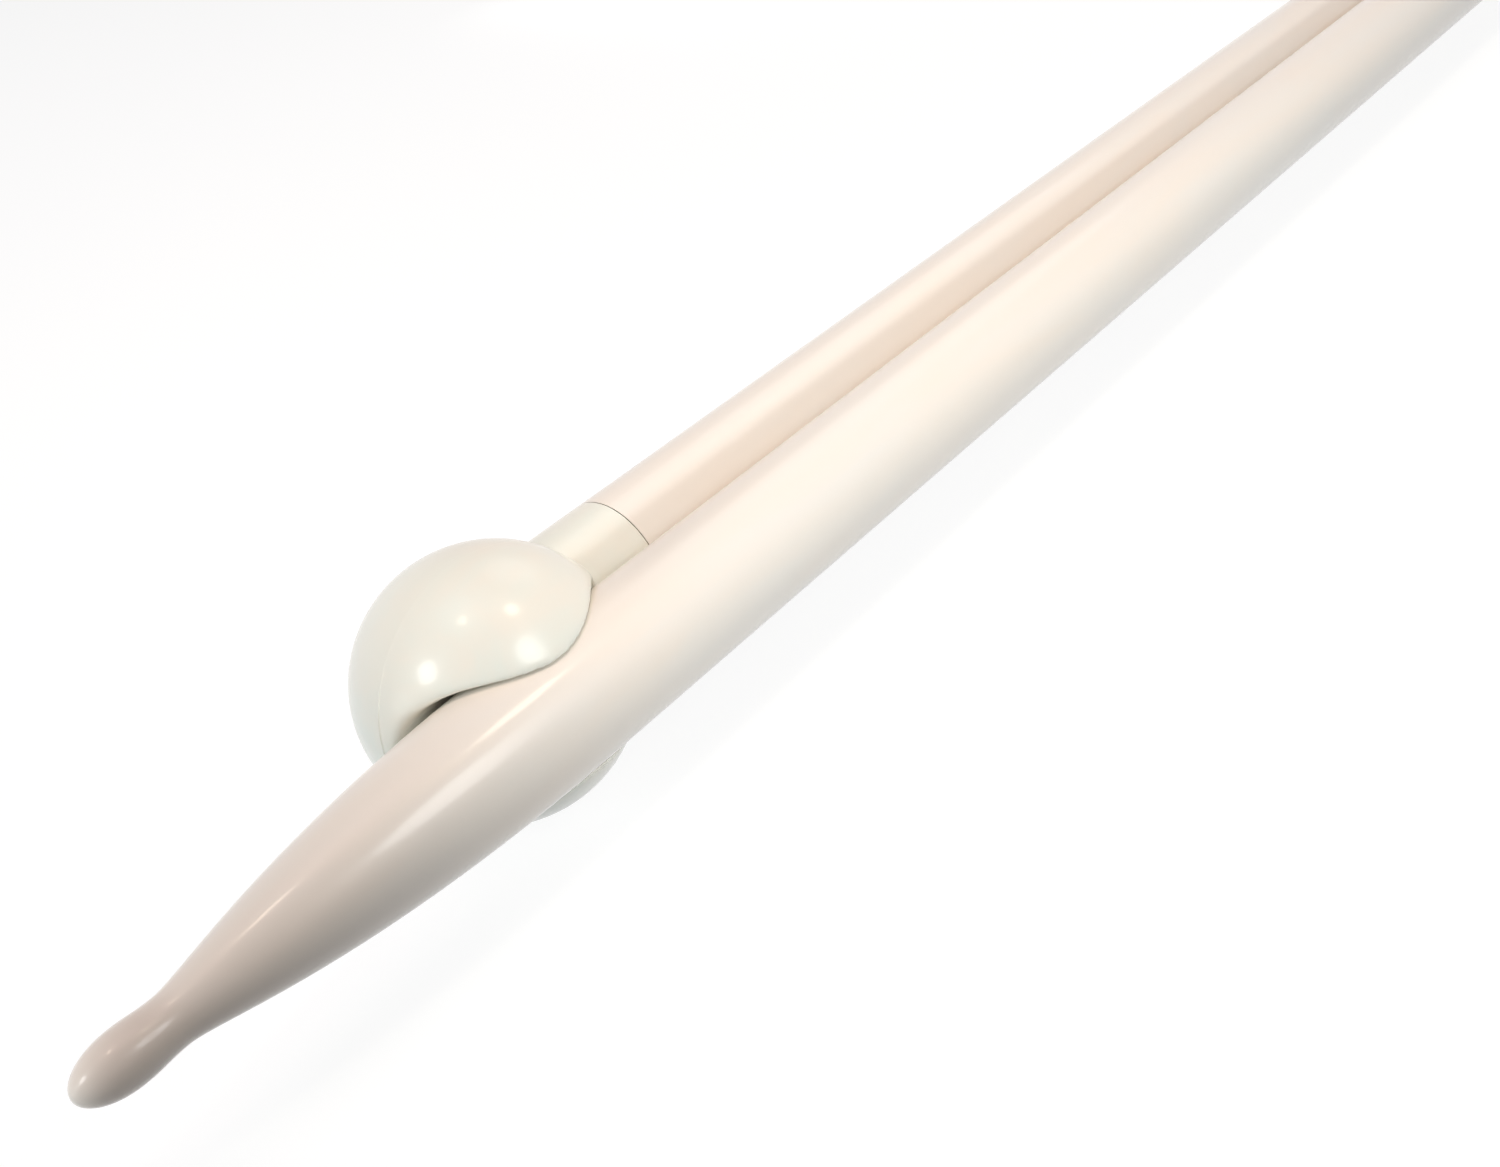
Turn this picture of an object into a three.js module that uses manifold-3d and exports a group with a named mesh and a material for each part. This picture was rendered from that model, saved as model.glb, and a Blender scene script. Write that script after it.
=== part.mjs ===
// A pair of moulded plastic knitting needles, clipped together head to tip for storage.
// Each needle is a shaft with a drop-shaped point, and a ball head pressed on its other end.
// The ball sits off the shaft's axis, and a groove through its wide side makes a snap clip:
// the other needle lies in that groove, so the two needles point opposite ways, side by side.
// Millimetres, +Z up, +X along the needles. The origin is on the table, under the pair's middle.

import * as THREE from 'three';
import { mergeVertices } from 'three/addons/utils/BufferGeometryUtils.js';
import Module from 'manifold-3d';

// Driving dimensions of the needle
const needleLength = 350;
const shaftDiameter = 10;

// The drop-shaped point, measured from its nose
const dropDiameter = 3.7;
const dropMiddle = 3.4;
const neckDiameter = 3.4;
const neckPlace = 6.2;
const taperEnd = 38;
const neckCurve = 2.4;
const taperCurve = 16;

// The ball head and its collar, which carries on the line of the shaft
const ballDiameter = 20.6;
const ballOffset = 3.6;
const collarLength = 16;

// The joint between shaft and head
const spigotDiameter = 6;
const spigotLength = 14;
const spigotChamfer = 0.8;

// The pair: how far each point reaches past the middle of the other needle's ball
const tipReach = 37.5;

// Clearances
const clipGap = 0.3;
const sideGap = 0.4;
const socketGap = 0.3;
const socketFloorGap = 0.6;
const seamGap = 0.2;

// Fineness of the round faces
const roundSteps = 48;
const ballRings = 24;
const grooveSteps = 64;
const noseSteps = 7;
const neckSteps = 4;
const taperSteps = 14;

// Sizes that follow from the ones above
const shaftRadius = shaftDiameter / 2;
const ballRadius = ballDiameter / 2;
const spigotRadius = spigotDiameter / 2;
const grooveRadius = shaftRadius + clipGap;
const socketRadius = spigotRadius + socketGap;
const axisSpacing = shaftDiameter + sideGap;
const ballPlace = needleLength - ballRadius;
const seamPlace = ballPlace - collarLength;
const shaftEnd = seamPlace - seamGap;
const spigotEnd = shaftEnd + spigotLength;
const socketEnd = spigotEnd + socketFloorGap;
const pairHalfLength = (ballPlace + tipReach) / 2;
const cutterOverrun = 1;

const plastic = {
  shaft: { color: 0xe9e1d6, roughness: 0.24 },
  head: { color: 0xece5da, roughness: 0.2 },
};

// Outline of the shaft: radius against the distance from the nose
function shaftOutline() {
  const nose = new THREE.EllipseCurve(
    0, dropMiddle, dropDiameter / 2, dropMiddle, -Math.PI / 2, 0, false, 0);
  const waist = new THREE.CubicBezierCurve(
    new THREE.Vector2(dropDiameter / 2, dropMiddle),
    new THREE.Vector2(dropDiameter / 2, (dropMiddle + neckPlace) / 2),
    new THREE.Vector2(neckDiameter / 2, (dropMiddle + neckPlace) / 2),
    new THREE.Vector2(neckDiameter / 2, neckPlace));
  const taper = new THREE.CubicBezierCurve(
    new THREE.Vector2(neckDiameter / 2, neckPlace),
    new THREE.Vector2(neckDiameter / 2, neckPlace + neckCurve),
    new THREE.Vector2(shaftRadius, taperCurve),
    new THREE.Vector2(shaftRadius, taperEnd));
  const point = [
    new THREE.Vector2(0, 0),
    ...nose.getPoints(noseSteps).slice(1),
    ...waist.getPoints(neckSteps).slice(1),
    ...taper.getPoints(taperSteps).slice(1),
  ];
  const spigot = [
    new THREE.Vector2(shaftRadius, shaftEnd),
    new THREE.Vector2(spigotRadius, shaftEnd),
    new THREE.Vector2(spigotRadius, spigotEnd - spigotChamfer),
    new THREE.Vector2(spigotRadius - spigotChamfer, spigotEnd),
    new THREE.Vector2(0, spigotEnd),
  ];
  return [...point, ...spigot];
}

// Turns an outline about the needle's axis, which runs along +X from the nose
function turned(outline, steps = roundSteps) {
  const geometry = new THREE.LatheGeometry(outline, steps);
  geometry.rotateZ(-Math.PI / 2);
  return geometry;
}

// A round bar along +X between two places on its axis
function bar(radius, from, to, steps = roundSteps) {
  return turned([
    new THREE.Vector2(0, from),
    new THREE.Vector2(radius, from),
    new THREE.Vector2(radius, to),
    new THREE.Vector2(0, to),
  ], steps);
}

// The ball, with a ring of corners at its widest place
function ball() {
  const outline = [];
  for (let ring = 0; ring <= ballRings; ring += 1) {
    const angle = Math.PI * ring / ballRings;
    const radius = ring === 0 || ring === ballRings ? 0 : ballRadius * Math.sin(angle);
    outline.push(new THREE.Vector2(radius, -ballRadius * Math.cos(angle)));
  }
  return turned(outline);
}

const wasm = await Module();
wasm.setup();

// A closed three.js geometry as a solid that can be joined and cut
function solid(geometry) {
  const bare = geometry.clone();
  bare.deleteAttribute('normal');
  bare.deleteAttribute('uv');
  const merged = mergeVertices(bare, 1e-4);
  return new wasm.Manifold(new wasm.Mesh({
    numProp: 3,
    vertProperties: new Float32Array(merged.attributes.position.array),
    triVerts: new Uint32Array(merged.index.array),
  }));
}

// A solid back as a three.js geometry
function surface(manifold) {
  const mesh = manifold.getMesh();
  const geometry = new THREE.BufferGeometry();
  geometry.setAttribute('position', new THREE.BufferAttribute(mesh.vertProperties, 3));
  geometry.setIndex(new THREE.BufferAttribute(mesh.triVerts, 1));
  geometry.computeVertexNormals();
  return geometry;
}

// The head: ball and collar in one, less the snap groove and the socket for the spigot
function headGeometry() {
  const ballSolid = solid(ball().translate(ballPlace, ballOffset, 0));
  const collar = solid(bar(shaftRadius, seamPlace, ballPlace));
  const groove = solid(
    bar(grooveRadius, -ballRadius - cutterOverrun, ballRadius + cutterOverrun, grooveSteps)
      .translate(ballPlace, axisSpacing, 0));
  const socket = solid(bar(socketRadius, seamPlace - cutterOverrun, socketEnd));
  return surface(ballSolid.add(collar).subtract(groove).subtract(socket));
}

function finish({ color, roughness }) {
  return new THREE.MeshStandardMaterial({ color, roughness, metalness: 0 });
}

// One needle along +X from its nose, with its ball leaning towards +Y
function needle(name) {
  const group = new THREE.Group();
  const shaft = new THREE.Mesh(turned(shaftOutline()), finish(plastic.shaft));
  const head = new THREE.Mesh(headGeometry(), finish(plastic.head));
  shaft.name = `${name}_shaft`;
  head.name = `${name}_head`;
  group.add(shaft, head);
  return group;
}

// The front needle points to -X, and the back one is the same needle turned half round
function pair() {
  const group = new THREE.Group();
  const front = needle('front_needle');
  const back = needle('back_needle');
  front.position.set(-pairHalfLength, -axisSpacing / 2, ballRadius);
  back.position.set(pairHalfLength, axisSpacing / 2, ballRadius);
  back.rotation.z = Math.PI;
  group.add(front, back);
  return group;
}

export default pair();
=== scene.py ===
"""A pair of moulded plastic knitting needles, clipped together head to tip, in a plain pale studio.

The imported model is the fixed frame. Its four faceted solids are dressed with smooth pieces of the same
main sizes: each needle has a turned shaft with a drop-shaped point, and a ball head with a snap groove whose
lips are rounded as a mould leaves them. Lengths are in metres, and a size that is written in
millimetres is multiplied by MM.
"""

from __future__ import annotations

import logging
import math
from collections.abc import Sequence
from dataclasses import dataclass
from enum import Enum

import bmesh
import bpy
from mathutils import Euler, Matrix, Vector
from mathutils.geometry import interpolate_bezier

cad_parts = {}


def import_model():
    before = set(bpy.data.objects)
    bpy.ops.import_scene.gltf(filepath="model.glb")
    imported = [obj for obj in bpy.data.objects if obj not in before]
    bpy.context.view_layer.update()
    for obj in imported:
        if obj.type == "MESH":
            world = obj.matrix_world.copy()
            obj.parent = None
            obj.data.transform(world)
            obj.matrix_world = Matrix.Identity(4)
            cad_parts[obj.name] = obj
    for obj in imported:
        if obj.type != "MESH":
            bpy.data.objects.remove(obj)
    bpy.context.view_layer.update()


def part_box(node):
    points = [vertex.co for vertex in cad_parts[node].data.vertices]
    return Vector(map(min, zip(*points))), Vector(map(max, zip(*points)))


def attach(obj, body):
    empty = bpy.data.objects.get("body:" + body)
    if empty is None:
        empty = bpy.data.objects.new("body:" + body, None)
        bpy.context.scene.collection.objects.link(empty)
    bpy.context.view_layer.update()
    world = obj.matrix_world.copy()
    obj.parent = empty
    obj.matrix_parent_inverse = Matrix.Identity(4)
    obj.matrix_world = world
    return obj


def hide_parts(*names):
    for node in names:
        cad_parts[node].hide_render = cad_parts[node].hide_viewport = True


MM = 0.001
MERGE_DISTANCE = 0.001 * MM
LOG = logging.getLogger("knitting_needles")


class Facing(Enum):
    """Which way a needle's point looks along the X axis."""

    LEFT = -1
    RIGHT = 1


def linear_colour(hex_value: str) -> tuple[float, float, float, float]:
    """Turns an sRGB hex colour into the linear values that a shader takes, by the standard's curve.

    Args:
        hex_value: Six hex digits, with or without a leading hash sign.

    Returns:
        Linear red, green and blue, and an alpha of 1.
    """
    digits = hex_value.lstrip("#")
    channels = [int(digits[start : start + 2], 16) / 255 for start in (0, 2, 4)]
    linear = [c / 12.92 if c <= 0.04045 else ((c + 0.055) / 1.055) ** 2.4 for c in channels]
    return linear[0], linear[1], linear[2], 1.0


def add_node(
    tree: bpy.types.NodeTree,
    kind: str,
    settings: dict[str, object] | None = None,
    inputs: dict[str, object] | None = None,
    links: dict[str, bpy.types.NodeSocket] | None = None,
) -> bpy.types.Node:
    """Adds one node to a tree with its settings, socket values and incoming links.

    Args:
        tree: The node tree that takes the node.
        kind: The node's type name.
        settings: Values for the node's own properties.
        inputs: Values for its input sockets, by socket name or index.
        links: Output sockets of other nodes, by the input socket that takes them.

    Returns:
        The new node.
    """
    node = tree.nodes.new(kind)
    for key, value in (settings or {}).items():
        setattr(node, key, value)
    for key, value in (inputs or {}).items():
        node.inputs[key].default_value = value
    for key, socket in (links or {}).items():
        tree.links.new(socket, node.inputs[key])
    return node


def object_from(bm: bmesh.types.BMesh, name: str) -> bpy.types.Object:
    """Makes a linked object at the origin from a bmesh, which is freed.

    Args:
        bm: The finished bmesh, already in its place.
        name: The name of the object and its mesh.

    Returns:
        The new object.
    """
    mesh = bpy.data.meshes.new(name)
    bm.to_mesh(mesh)
    bm.free()
    made = bpy.data.objects.new(name, mesh)
    bpy.context.scene.collection.objects.link(made)
    return made


def round_bar(start: float, end: float, radius: float, segments: int) -> bmesh.types.BMesh:
    """Makes a closed round bar along the X axis.

    Args:
        start: Where the bar starts on the axis.
        end: Where it ends.
        radius: Its radius.
        segments: How many faces go round it.

    Returns:
        A new bmesh that holds the bar.
    """
    bm = bmesh.new()
    middle = Matrix.Translation(((start + end) / 2, 0, 0))
    along_x = Euler((0, math.pi / 2, 0)).to_matrix().to_4x4()
    bmesh.ops.create_cone(
        bm,
        cap_ends=True,
        segments=segments,
        radius1=radius,
        radius2=radius,
        depth=end - start,
        matrix=middle @ along_x,
    )
    return bm


def turned(outline: Sequence[Vector], segments: int) -> bmesh.types.BMesh:
    """Turns an outline about the X axis to a closed solid.

    Args:
        outline: Points whose x is the place on the axis and whose y is the radius.
        segments: How many faces go round it.

    Returns:
        A new bmesh that holds the solid.
    """
    bm = bmesh.new()
    corners = [bm.verts.new(point) for point in outline]
    edges = [bm.edges.new(pair) for pair in zip(corners, corners[1:])]
    bmesh.ops.spin(
        bm,
        geom=corners + edges,
        axis=(1, 0, 0),
        cent=(0, 0, 0),
        angle=2 * math.pi,
        steps=segments,
        use_merge=True,
    )
    bmesh.ops.remove_doubles(bm, verts=bm.verts, dist=MERGE_DISTANCE)
    bmesh.ops.recalc_face_normals(bm, faces=bm.faces)
    return bm


@dataclass(frozen=True)
class PointShape:
    """The drop-shaped point, measured along the shaft from its nose."""

    drop_diameter: float = 3.7 * MM
    drop_middle: float = 3.4 * MM
    neck_diameter: float = 3.4 * MM
    neck_place: float = 6.2 * MM
    neck_curve: float = 2.4 * MM
    taper_curve: float = 16 * MM
    taper_end: float = 38 * MM
    nose_steps: int = 24
    neck_steps: int = 16
    taper_steps: int = 64

    def outline(self, shaft_radius: float) -> list[Vector]:
        """Gives the point's outline, from its nose to where the shaft has its full diameter.

        Args:
            shaft_radius: The full radius of the shaft.

        Returns:
            Points whose x is the distance from the nose and whose y is the radius.
        """
        drop_radius = self.drop_diameter / 2
        neck_radius = self.neck_diameter / 2
        nose = [
            Vector((self.drop_middle * (1 - math.cos(turn)), drop_radius * math.sin(turn), 0))
            for turn in (math.pi / 2 * step / self.nose_steps for step in range(self.nose_steps))
        ]
        waist_middle = (self.drop_middle + self.neck_place) / 2
        waist = interpolate_bezier(
            Vector((self.drop_middle, drop_radius, 0)),
            Vector((waist_middle, drop_radius, 0)),
            Vector((waist_middle, neck_radius, 0)),
            Vector((self.neck_place, neck_radius, 0)),
            self.neck_steps,
        )
        taper = interpolate_bezier(
            Vector((self.neck_place, neck_radius, 0)),
            Vector((self.neck_place + self.neck_curve, neck_radius, 0)),
            Vector((self.taper_curve, shaft_radius, 0)),
            Vector((self.taper_end, shaft_radius, 0)),
            self.taper_steps,
        )
        return nose + waist + taper[1:]


@dataclass(frozen=True)
class HeadShape:
    """Sizes of the ball head that the frame's boxes don't give.

    The lips of the groove are sprung, so they lie closer to the needle than the solids' clearance.
    The groove widens towards its two mouths, and leads a point in. Remeshing and smoothing make the
    radius of ball, collar and groove 0.02 to 0.04 mm smaller, as measured on the meshes, and
    smoothing_loss makes up for that.
    """

    clip_gap: float = 0.06 * MM
    mouth_depth: float = 5.8 * MM
    mouth_slope: float = 0.08
    socket_gap: float = 0.3 * MM
    socket_floor_gap: float = 0.6 * MM
    seam_width: float = 0.1 * MM
    trim: float = 1.5 * MM
    fine_voxel: float = 0.085 * MM
    lip_rounds: int = 220
    lip_factor: float = 0.85
    even_voxel: float = 0.17 * MM
    even_rounds: int = 6
    even_factor: float = 0.5
    smoothing_loss: float = 0.03 * MM
    mould_line_shift: float = 0.5 * MM
    mould_line_height: float = 0.09 * MM
    mould_line_half_width: float = 0.11 * MM
    mould_line_wear: float = 0.9
    segments: int = 192


@dataclass(frozen=True)
class SpigotShape:
    """The end of the shaft that the head is pressed on."""

    diameter: float = 6 * MM
    length: float = 14 * MM
    chamfer: float = 0.8 * MM


@dataclass(frozen=True)
class PearlPlastic:
    """Pearl-pigmented ABS, injection moulded in a polished steel mould.

    The polished mould leaves a wet, even gloss. The pearl flakes under it scatter a softer second
    highlight and drift in faint flow marks, so the off-white is never quite one colour.
    """

    name: str
    warm_hex: str
    cool_hex: str
    flow_stretch: float
    flake_share: float = 0.03
    flake_roughness: float = 0.34
    plastic_ior: float = 1.53
    skin_weight: float = 0.55
    skin_roughness: float = 0.1
    skin_ior: float = 1.5
    flow_size: float = 7 * MM
    flow_detail: float = 3
    flow_roughness: float = 0.55
    flow_distortion: float = 0.6
    warm_below: float = 0.3
    cool_above: float = 0.7
    ripple_size: float = 2.2 * MM
    ripple_detail: float = 1
    ripple_height: float = 0.004 * MM

    def material(self) -> bpy.types.Material:
        """Builds the node material.

        Returns:
            The finished material.
        """
        made = bpy.data.materials.new(self.name)
        made.use_nodes = True
        tree = made.node_tree
        tree.nodes.clear()
        place = add_node(tree, "ShaderNodeTexCoord")
        stretched = add_node(
            tree,
            "ShaderNodeMapping",
            inputs={"Scale": (self.flow_stretch, 1, 1)},
            links={"Vector": place.outputs["Object"]},
        )
        flow = add_node(
            tree,
            "ShaderNodeTexNoise",
            inputs={
                "Scale": 1 / self.flow_size,
                "Detail": self.flow_detail,
                "Roughness": self.flow_roughness,
                "Distortion": self.flow_distortion,
            },
            links={"Vector": stretched.outputs["Vector"]},
        )
        tint = add_node(
            tree,
            "ShaderNodeMix",
            {"data_type": "RGBA"},
            {"A": linear_colour(self.warm_hex), "B": linear_colour(self.cool_hex)},
        )
        spread = add_node(
            tree,
            "ShaderNodeMapRange",
            inputs={"From Min": self.warm_below, "From Max": self.cool_above},
            links={"Value": flow.outputs["Fac"]},
        )
        tree.links.new(spread.outputs["Result"], tint.inputs["Factor"])
        ripple = add_node(
            tree,
            "ShaderNodeTexNoise",
            inputs={"Scale": 1 / self.ripple_size, "Detail": self.ripple_detail},
            links={"Vector": place.outputs["Object"]},
        )
        bump = add_node(
            tree,
            "ShaderNodeBump",
            inputs={"Strength": 1, "Distance": self.ripple_height},
            links={"Height": ripple.outputs["Fac"]},
        )
        shader = add_node(
            tree,
            "ShaderNodeBsdfPrincipled",
            inputs={
                "Metallic": self.flake_share,
                "Roughness": self.flake_roughness,
                "IOR": self.plastic_ior,
                "Coat Weight": self.skin_weight,
                "Coat Roughness": self.skin_roughness,
                "Coat IOR": self.skin_ior,
            },
            links={"Base Color": tint.outputs["Result"], "Normal": bump.outputs["Normal"]},
        )
        add_node(
            tree,
            "ShaderNodeOutputMaterial",
            links={"Surface": shader.outputs["BSDF"]},
        )
        return made


@dataclass
class Needle:
    """One needle: its turned shaft and its ball head, built along +X from the nose and then placed.

    The sizes come from the boxes of its two solids in the frame. The ball leans towards +Y while the
    needle is built, so a needle that faces right is turned half round to its place.
    """

    name: str
    facing: Facing
    point: PointShape
    spigot: SpigotShape
    head: HeadShape
    shaft_finish: bpy.types.Material
    head_finish: bpy.types.Material
    shaft_segments: int = 128
    straight_steps: int = 40
    sharp_angle: float = 60

    def __post_init__(self) -> None:
        """Reads the needle's sizes and place from the frame."""
        shaft_low, shaft_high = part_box(f"{self.name}_shaft")
        head_low, head_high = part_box(f"{self.name}_head")
        self.shaft_radius: float = (shaft_high.z - shaft_low.z) / 2
        self.ball_radius: float = (head_high.z - head_low.z) / 2
        self.axis_y: float = (shaft_low.y + shaft_high.y) / 2
        self.axis_z: float = (shaft_low.z + shaft_high.z) / 2
        head_length = head_high.x - head_low.x
        reach = shaft_high.x - shaft_low.x
        if self.facing is Facing.LEFT:
            self.nose_x: float = shaft_low.x
            self.ball_lean: float = head_low.y + self.ball_radius - self.axis_y
            seam = head_low.x - self.nose_x
        else:
            self.nose_x = shaft_high.x
            self.ball_lean = self.axis_y - (head_high.y - self.ball_radius)
            seam = self.nose_x - head_high.x
        self.seam_place: float = seam
        self.ball_place: float = seam + head_length - self.ball_radius
        self.spigot_end: float = reach
        self.shoulder: float = reach - self.spigot.length

    def placing(self) -> Matrix:
        """Gives the turn and shift from the needle's own axes to its place in the frame."""
        half_turn = 0.0 if self.facing is Facing.LEFT else math.pi
        place = Matrix.Translation((self.nose_x, self.axis_y, self.axis_z))
        return place @ Matrix.Rotation(half_turn, 4, "Z")

    def shaft_outline(self) -> list[Vector]:
        """Gives the whole outline of the shaft, from the nose to the end of the spigot.

        Returns:
            Points whose x is the distance from the nose and whose y is the radius.
        """
        point = self.point.outline(self.shaft_radius)
        start = self.point.taper_end
        straight_length = self.shoulder - start
        straight = [
            Vector((start + straight_length * step / self.straight_steps, self.shaft_radius, 0))
            for step in range(1, self.straight_steps + 1)
        ]
        radius = self.spigot.diameter / 2
        chamfer = self.spigot.chamfer
        spigot = [
            Vector((self.shoulder, radius, 0)),
            Vector((self.spigot_end - chamfer, radius, 0)),
            Vector((self.spigot_end, radius - chamfer, 0)),
            Vector((self.spigot_end, 0, 0)),
        ]
        return point + straight + spigot

    def build_shaft(self) -> bpy.types.Object:
        """Turns the shaft about its axis.

        Returns:
            The dressed shaft.
        """
        bm = turned(self.shaft_outline(), self.shaft_segments)
        return self.finish_piece(bm, "shaft", self.shaft_finish)

    def groove_outline(self) -> list[Vector]:
        """Gives the outline of the snap groove, which is straight in the ball and widens at its mouths.

        Returns:
            Points whose x is the distance from the ball's middle and whose y is the radius.
        """
        shape = self.head
        half = self.ball_radius + shape.trim
        straight = self.ball_radius - shape.mouth_depth
        narrow = self.shaft_radius + shape.clip_gap + shape.smoothing_loss
        wide = narrow + shape.mouth_slope * (half - straight)
        return [
            Vector((-half, 0, 0)),
            Vector((-half, wide, 0)),
            Vector((-straight, narrow, 0)),
            Vector((straight, narrow, 0)),
            Vector((half, wide, 0)),
            Vector((half, 0, 0)),
        ]

    def rough_head(self) -> bpy.types.Object:
        """Joins ball and collar, and cuts the groove and the socket, all with sharp edges.

        Returns:
            A scratch object whose modifiers do the joining and cutting.
        """
        shape = self.head
        spare = shape.smoothing_loss
        ball = bmesh.new()
        bmesh.ops.create_uvsphere(
            ball,
            u_segments=shape.segments,
            v_segments=shape.segments // 2,
            radius=self.ball_radius + spare,
            matrix=Matrix.Translation((self.ball_place, self.ball_lean, 0)),
        )
        groove = turned(self.groove_outline(), shape.segments)
        bmesh.ops.translate(groove, verts=groove.verts, vec=(self.ball_place, 2 * abs(self.axis_y), 0))
        collar_start = self.seam_place - shape.trim
        collar_radius = self.shaft_radius + spare
        collar = round_bar(collar_start, self.ball_place, collar_radius, shape.segments)
        socket = round_bar(
            collar_start - shape.trim,
            self.spigot_end + shape.socket_floor_gap,
            self.spigot.diameter / 2 + shape.socket_gap,
            shape.segments,
        )
        rough = object_from(ball, f"{self.name}_head_rough")
        for cutter, operation in ((collar, "UNION"), (groove, "DIFFERENCE"), (socket, "DIFFERENCE")):
            cut = rough.modifiers.new("cut", "BOOLEAN")
            cut.operation = operation
            cut.solver = "EXACT"
            cut.object = object_from(cutter, f"{self.name}_head_cutter")
        return rough

    def rounded_head(self) -> bmesh.types.BMesh:
        """Rounds the rough head's lips and rims, and removes the scratch objects.

        Returns:
            A bmesh of the head along the needle's own axes.
        """
        rough = self.rough_head()
        shape = self.head
        for voxel, rounds, factor in (
            (shape.fine_voxel, shape.lip_rounds, shape.lip_factor),
            (shape.even_voxel, shape.even_rounds, shape.even_factor),
        ):
            remesh = rough.modifiers.new("even", "REMESH")
            remesh.mode = "VOXEL"
            remesh.voxel_size = voxel
            soft = rough.modifiers.new("soft", "SMOOTH")
            soft.factor = factor
            soft.iterations = rounds
        bpy.context.view_layer.update()
        evaluated = rough.evaluated_get(bpy.context.evaluated_depsgraph_get())
        bm = bmesh.new()
        bm.from_mesh(evaluated.to_mesh())
        evaluated.to_mesh_clear()
        for scratch in [cut.object for cut in rough.modifiers if cut.type == "BOOLEAN"] + [rough]:
            bpy.data.objects.remove(scratch)
        return bm

    def trim_collar(self, bm: bmesh.types.BMesh) -> None:
        """Cuts the overlong collar square at the seam and closes its wall again.

        Args:
            bm: The rounded head along the needle's own axes.
        """
        cut = bmesh.ops.bisect_plane(
            bm,
            geom=bm.verts[:] + bm.edges[:] + bm.faces[:],
            dist=MERGE_DISTANCE,
            plane_co=(self.shoulder + self.head.seam_width, 0, 0),
            plane_no=(-1, 0, 0),
            clear_outer=True,
        )
        rims = [part for part in cut["geom_cut"] if isinstance(part, bmesh.types.BMEdge)]
        bmesh.ops.bridge_loops(bm, edges=rims)

    def raise_mould_line(self, bm: bmesh.types.BMesh) -> None:
        """Raises the mould's parting line on the ball as a fine ridge, worn away towards the top.

        Args:
            bm: The rounded head along the needle's own axes.
        """
        shape = self.head
        line_y = self.ball_lean + shape.mould_line_shift
        line_tolerance = shape.mould_line_half_width / 4
        for shift in (-shape.mould_line_half_width, 0.0, shape.mould_line_half_width):
            bmesh.ops.bisect_plane(
                bm,
                geom=bm.verts[:] + bm.edges[:] + bm.faces[:],
                dist=MERGE_DISTANCE,
                plane_co=(0, line_y + shift, 0),
                plane_no=(0, 1, 0),
            )
        centre = Vector((self.ball_place, self.ball_lean, 0))
        for vertex in bm.verts:
            outwards = vertex.co - centre
            on_line = abs(vertex.co.y - line_y) < line_tolerance
            on_ball = abs(outwards.length - self.ball_radius) < shape.mould_line_half_width
            if on_line and on_ball:
                worn = shape.mould_line_wear * max(0.0, outwards.z / self.ball_radius)
                vertex.co += outwards.normalized() * shape.mould_line_height * (1 - worn)

    def build_head(self) -> bpy.types.Object:
        """Builds the ball head with its rounded groove and its mould line.

        Returns:
            The dressed head.
        """
        bm = self.rounded_head()
        self.trim_collar(bm)
        self.raise_mould_line(bm)
        bmesh.ops.recalc_face_normals(bm, faces=bm.faces)
        return self.finish_piece(bm, "head", self.head_finish)

    def finish_piece(
        self, bm: bmesh.types.BMesh, part: str, finish: bpy.types.Material
    ) -> bpy.types.Object:
        """Places a piece, shades it, gives it its finish and sets it on its body in the frame.

        Args:
            bm: The piece along the needle's own axes.
            part: The last word of the solid that it stands for.
            finish: Its material.

        Returns:
            The finished piece.
        """
        bm.transform(self.placing())
        piece = object_from(bm, f"{self.name}_{part}_smooth")
        piece.data.shade_smooth()
        piece.data.set_sharp_from_angle(angle=math.radians(self.sharp_angle))
        piece.data.materials.append(finish)
        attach(piece, self.name)
        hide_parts(f"{self.name}_{part}")
        return piece


@dataclass(frozen=True)
class Lamp:
    """A round soft lamp that looks at one place from a given direction.

    Its brightness is its power over its area and over pi, so it doesn't change with the diameter.
    """

    name: str
    azimuth: float
    elevation: float
    distance: float
    diameter: float
    brightness: float
    colour_hex: str
    shows_in_gloss: bool = True

    def build(self, target: Vector) -> bpy.types.Object:
        """Hangs the lamp in the studio.

        Args:
            target: The place that the lamp looks at.

        Returns:
            The lamp's object.
        """
        data = bpy.data.lights.new(self.name, "AREA")
        data.shape = "DISK"
        data.size = self.diameter
        data.color = linear_colour(self.colour_hex)[:3]
        data.energy = self.brightness * math.pi * math.pi * self.diameter**2 / 4
        lamp = bpy.data.objects.new(self.name, data)
        bpy.context.scene.collection.objects.link(lamp)
        turn, tilt = math.radians(self.azimuth), math.radians(self.elevation)
        towards = Vector(
            (math.cos(turn) * math.cos(tilt), math.sin(turn) * math.cos(tilt), math.sin(tilt))
        )
        lamp.location = target + towards * self.distance
        lamp.rotation_euler = towards.to_track_quat("Z", "Y").to_euler()
        lamp.visible_glossy = self.shows_in_gloss
        return lamp


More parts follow.
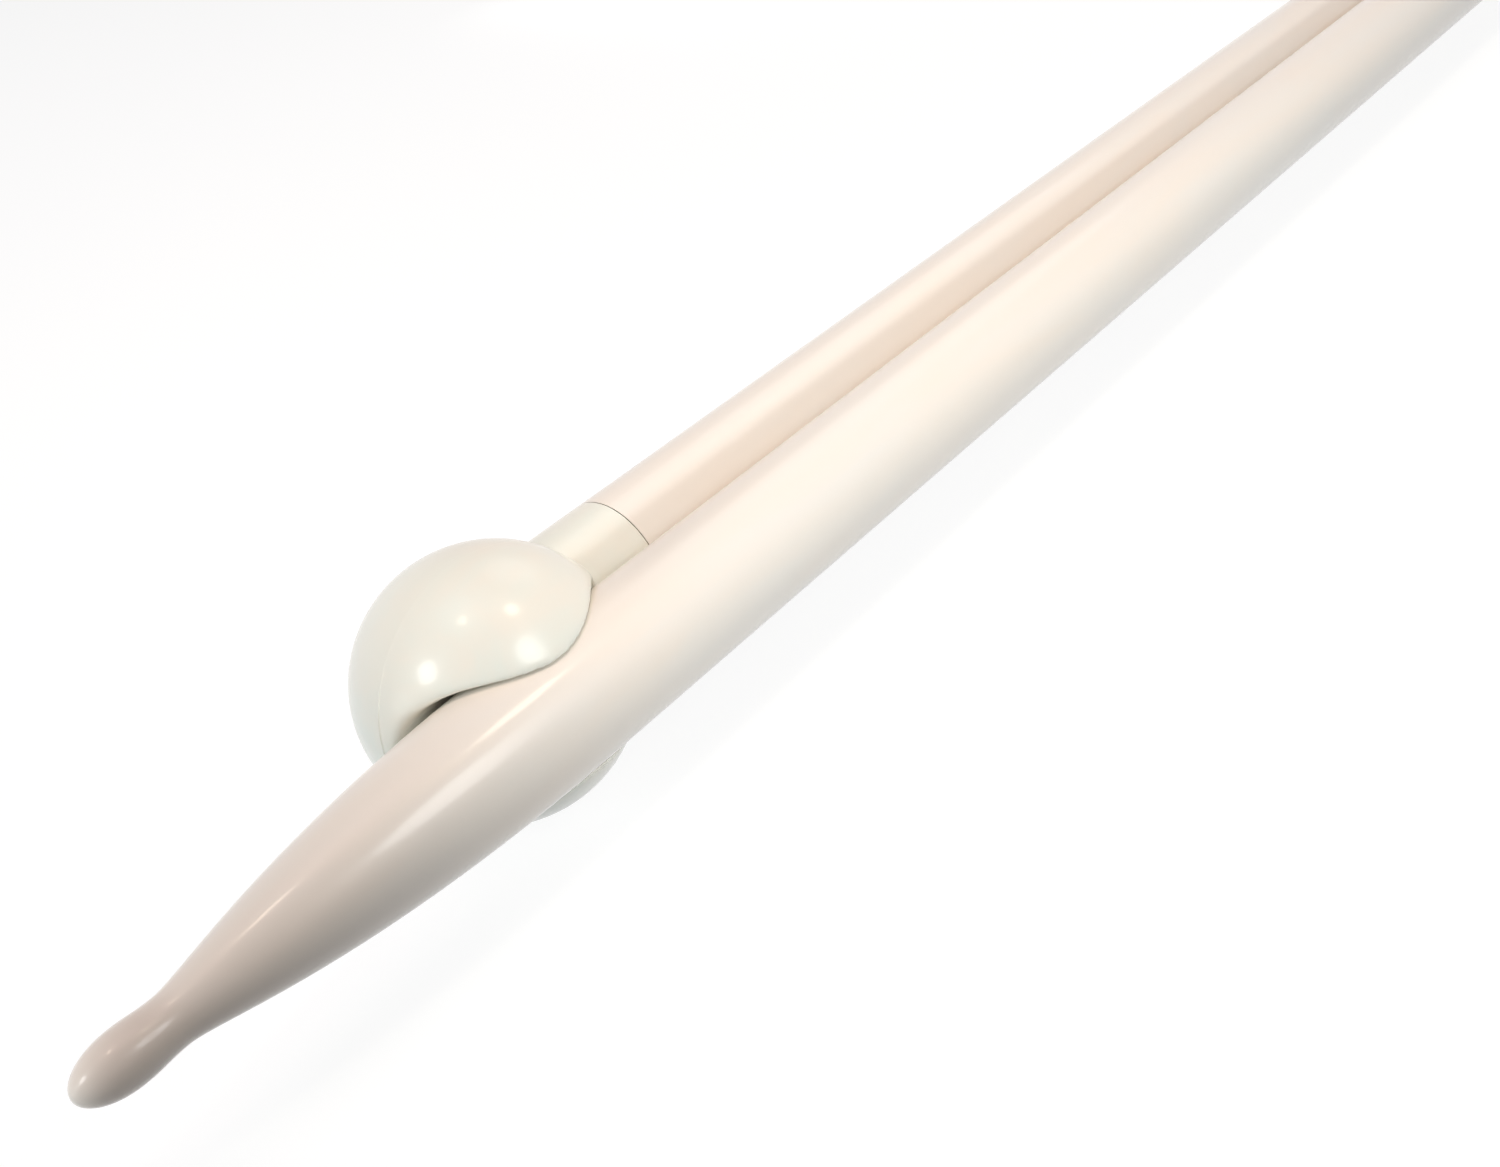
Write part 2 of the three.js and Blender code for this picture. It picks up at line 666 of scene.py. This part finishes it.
@dataclass(frozen=True)
class Spotlight:
    """A soft spotlight with a grid, whose beam lights a length of the pair and ends at a given place.

    The front needle's point is darker than the rest, as if the camera shaded it, and the soft edges
    of the front spotlights' beams do that here. The others light the back, the far end, and the
    place where the front needle lies when it is pushed in. The beam's middle and end are places
    along the X axis.
    """

    name: str
    place: tuple[float, float, float]
    beam_end: float
    fade: float
    size: float
    power: float
    colour_hex: str
    shows_in_gloss: bool = False
    beam_middle: float = 50 * MM
    height: float = 10 * MM

    def build(self) -> bpy.types.Object:
        """Hangs the spotlight in the studio.

        Returns:
            The spotlight's object.
        """
        data = bpy.data.lights.new(self.name, "SPOT")
        data.energy = self.power
        data.color = linear_colour(self.colour_hex)[:3]
        data.shadow_soft_size = self.size
        data.spot_blend = self.fade
        place = Vector(self.place)
        middle = Vector((self.beam_middle, 0, self.height)) - place
        end = Vector((self.beam_end, 0, self.height)) - place
        data.spot_size = 2 * middle.angle(end)
        spot = bpy.data.objects.new(self.name, data)
        bpy.context.scene.collection.objects.link(spot)
        spot.location = place
        spot.rotation_euler = (-middle).to_track_quat("Z", "Y").to_euler()
        spot.visible_glossy = self.shows_in_gloss
        return spot


LAMPS = (
    Lamp(
        name="left_softbox",
        azimuth=173,
        elevation=40,
        distance=0.7,
        diameter=0.2,
        brightness=6.5,
        colour_hex="#FFFFFF",
    ),
    Lamp(
        name="ceiling_bulb",
        azimuth=180,
        elevation=83,
        distance=0.9,
        diameter=0.11,
        brightness=9.0,
        colour_hex="#FFEBD2",
    ),
    Lamp(
        name="second_bulb",
        azimuth=-38,
        elevation=62,
        distance=0.9,
        diameter=0.15,
        brightness=9.5,
        colour_hex="#FFEDD8",
    ),
    Lamp(
        name="window",
        azimuth=22,
        elevation=42,
        distance=0.9,
        diameter=0.45,
        brightness=0.6,
        colour_hex="#FFFFFF",
    ),
    Lamp(
        name="left_fill",
        azimuth=160,
        elevation=12,
        distance=0.7,
        diameter=0.3,
        brightness=10.5,
        colour_hex="#ECFAFF",
        shows_in_gloss=False,
    ),
    Lamp(
        name="top_fill",
        azimuth=90,
        elevation=84,
        distance=0.9,
        diameter=0.5,
        brightness=2.7,
        colour_hex="#FFDCE2",
        shows_in_gloss=False,
    ),
)

SPOTLIGHTS = (
    Spotlight(
        name="front_softbox",
        place=(-0.123, -0.125, 0.104),
        beam_end=-196 * MM,
        fade=0.25,
        size=0.035,
        power=0.225,
        colour_hex="#FBFFFF",
        shows_in_gloss=True,
    ),
    Spotlight(
        name="top_spot",
        place=(-0.12, -0.06, 0.28),
        beam_end=-204 * MM,
        fade=0.45,
        size=0.02,
        power=1.12,
        colour_hex="#FFF6E4",
    ),
    Spotlight(
        name="front_spot",
        place=(-0.12, -0.22, 0.04),
        beam_end=-182 * MM,
        fade=0.3,
        size=0.012,
        power=0.85,
        colour_hex="#F0FAFF",
    ),
    Spotlight(
        name="rear_spot",
        place=(0.12, 0.36, 0.05),
        beam_end=-100 * MM,
        fade=1.0,
        size=0.03,
        power=1.6,
        colour_hex="#FFFFFF",
        beam_middle=120 * MM,
    ),
    Spotlight(
        name="far_spot",
        place=(0.22, -0.2, 0.2),
        beam_end=60 * MM,
        fade=1.0,
        size=0.03,
        power=1.5,
        colour_hex="#FFFFFF",
        beam_middle=200 * MM,
    ),
    Spotlight(
        name="outer_spot",
        place=(-0.34, -0.22, 0.3),
        beam_end=-197 * MM,
        fade=0.12,
        size=0.02,
        power=3.0,
        colour_hex="#FFF8EE",
        beam_middle=-350 * MM,
    ),
)


@dataclass(frozen=True)
class Studio:
    """A plain pale floor, a white surround and soft lamps."""

    floor_half_width: float = 6.0
    floor_hex: str = "#8F8F8F"
    shade_hex: str = "#707070"
    floor_glow: float = 0.9
    ambient: float = 0.03
    ambient_hex: str = "#FFFFFF"
    target: tuple[float, float, float] = (-150 * MM, 0.0, 10 * MM)

    def seen_directly(self, tree: bpy.types.NodeTree) -> bpy.types.NodeSocket:
        """Gives a factor that is 1 for what the camera, a reflection or clear plastic shows.

        Args:
            tree: The node tree that needs the factor.

        Returns:
            The socket that holds the factor.
        """
        path = add_node(tree, "ShaderNodeLightPath")
        mirrored = add_node(
            tree,
            "ShaderNodeMath",
            {"operation": "MAXIMUM"},
            links={0: path.outputs["Is Glossy Ray"], 1: path.outputs["Is Transmission Ray"]},
        )
        either = add_node(
            tree,
            "ShaderNodeMath",
            {"operation": "MAXIMUM"},
            links={0: path.outputs["Is Camera Ray"], 1: mirrored.outputs["Value"]},
        )
        return either.outputs["Value"]

    def build_world(self) -> None:
        """Makes the surround: white where it is seen, and a soft even light elsewhere."""
        world = bpy.data.worlds.new("pale_surround")
        world.use_nodes = True
        bpy.context.scene.world = world
        tree = world.node_tree
        tree.nodes.clear()
        light = add_node(
            tree,
            "ShaderNodeBackground",
            inputs={"Color": linear_colour(self.ambient_hex), "Strength": self.ambient},
        )
        white = add_node(tree, "ShaderNodeBackground", inputs={"Color": (1, 1, 1, 1), "Strength": 1})
        mix = add_node(
            tree,
            "ShaderNodeMixShader",
            links={
                0: self.seen_directly(tree),
                1: light.outputs["Background"],
                2: white.outputs["Background"],
            },
        )
        add_node(tree, "ShaderNodeOutputWorld", links={"Surface": mix.outputs["Shader"]})

    def floor_material(self) -> bpy.types.Material:
        """Makes the floor's matt pale paint, which shows as white with a soft shadow where it is seen.

        Returns:
            The finished material.
        """
        made = bpy.data.materials.new("pale_floor")
        made.use_nodes = True
        tree = made.node_tree
        tree.nodes.clear()
        paint = add_node(
            tree, "ShaderNodeBsdfDiffuse", inputs={"Color": linear_colour(self.floor_hex)}
        )
        shade = add_node(
            tree, "ShaderNodeBsdfDiffuse", inputs={"Color": linear_colour(self.shade_hex)}
        )
        glow = add_node(
            tree,
            "ShaderNodeEmission",
            inputs={"Color": (1, 1, 1, 1), "Strength": self.floor_glow},
        )
        lifted = add_node(
            tree,
            "ShaderNodeAddShader",
            links={0: shade.outputs["BSDF"], 1: glow.outputs["Emission"]},
        )
        mix = add_node(
            tree,
            "ShaderNodeMixShader",
            links={
                0: self.seen_directly(tree),
                1: paint.outputs["BSDF"],
                2: lifted.outputs["Shader"],
            },
        )
        add_node(tree, "ShaderNodeOutputMaterial", links={"Surface": mix.outputs["Shader"]})
        return made

    def build_floor(self) -> bpy.types.Object:
        """Lays the floor under the needles.

        Returns:
            The floor's object.
        """
        bm = bmesh.new()
        bmesh.ops.create_grid(bm, x_segments=1, y_segments=1, size=self.floor_half_width)
        floor = object_from(bm, "studio_floor")
        floor.data.materials.append(self.floor_material())
        return floor

    def build(self) -> None:
        """Builds the whole studio."""
        self.build_world()
        self.build_floor()
        for lamp in LAMPS:
            lamp.build(Vector(self.target))
            LOG.info("lamp %s hung", lamp.name)
        for spotlight in SPOTLIGHTS:
            spotlight.build()
            LOG.info("spotlight %s hung", spotlight.name)
        bpy.context.scene.view_settings.view_transform = "Standard"


@dataclass(frozen=True)
class ViewPoint:
    """Where the photograph was taken from, worked out from the edges of the needles and the ball.

    The lens was close to the point and tilted, which the roll stands for.
    """

    place: tuple[float, float, float] = (-196.06 * MM, -77.92 * MM, 65.61 * MM)
    heading: float = -41.74
    downward: float = 30.70
    roll: float = -15.36
    lens: float = 35.1
    sensor_width: float = 36.0
    nearest_seen: float = 5 * MM
    farthest_seen: float = 50.0

    def build(self) -> bpy.types.Object:
        """Sets up the scene's camera.

        Returns:
            The camera's object.
        """
        data = bpy.data.cameras.new("photograph_camera")
        data.lens = self.lens
        data.sensor_width = self.sensor_width
        data.sensor_fit = "HORIZONTAL"
        data.clip_start = self.nearest_seen
        data.clip_end = self.farthest_seen
        camera = bpy.data.objects.new("photograph_camera", data)
        bpy.context.scene.collection.objects.link(camera)
        level = Euler((math.radians(90 - self.downward), 0, math.radians(self.heading)))
        rolled = level.to_matrix() @ Matrix.Rotation(math.radians(self.roll), 3, "Z")
        camera.location = self.place
        camera.rotation_euler = rolled.to_euler()
        bpy.context.scene.camera = camera
        return camera


def main() -> None:
    """Builds the needles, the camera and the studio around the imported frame."""
    logging.basicConfig(level=logging.INFO, format="%(name)s: %(message)s")
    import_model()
    ViewPoint().build()
    shaft_finish = PearlPlastic(
        name="pearl_plastic_shaft", warm_hex="#F1E6DA", cool_hex="#EDE7DF", flow_stretch=0.25
    ).material()
    head_finish = PearlPlastic(
        name="pearl_plastic_head", warm_hex="#F0E9DC", cool_hex="#E8EBE1", flow_stretch=0.8
    ).material()
    for name, facing in (("front_needle", Facing.LEFT), ("back_needle", Facing.RIGHT)):
        needle = Needle(
            name, facing, PointShape(), SpigotShape(), HeadShape(), shaft_finish, head_finish
        )
        for piece in (needle.build_shaft(), needle.build_head()):
            LOG.info("piece %s has %d faces", piece.name, len(piece.data.polygons))
    Studio().build()


if __name__ == "__main__":
    main()
